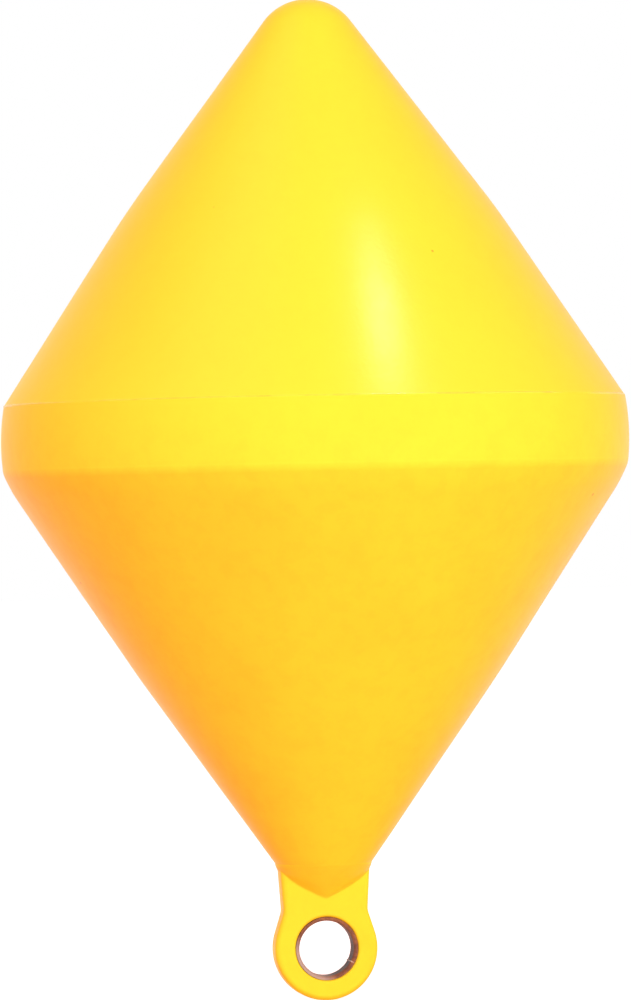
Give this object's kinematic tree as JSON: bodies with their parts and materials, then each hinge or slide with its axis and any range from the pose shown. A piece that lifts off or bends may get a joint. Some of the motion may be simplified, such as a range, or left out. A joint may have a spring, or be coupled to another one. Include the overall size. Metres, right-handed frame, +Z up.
{
  "type": "double-cone mooring marker buoy",
  "caption": "Small yellow double-cone marker buoy, foam filled, with a waist band at the waterline and a moulded mooring lug whose eye has a steel liner.",
  "frame": {"origin": "on the hull's axis at the waterline, level with the lower edge of the waist band", "axes": "+Z up along the hull's axis to the tip; the lug's eye runs along Y, and its flat faces look along -Y and +Y"},
  "size_m": [0.4, 0.4, 0.638],
  "materials": {
    "upper_skin": "satin, sun-bleached lemon yellow polyethylene",
    "lower_skin": "satin golden yellow polyethylene",
    "liner_steel": "rusted and worn steel tube",
    "plug_plastic": "matt moulded plastic"
  },
  "bodies": {
    "root": {"upper_cone": "upper_skin", "waist_band": "upper_skin", "lower_cone": "lower_skin", "mooring_lug": "lower_skin", "eye_liner": "liner_steel", "filler_plug": "plug_plastic"}
  },
  "joints": []
}
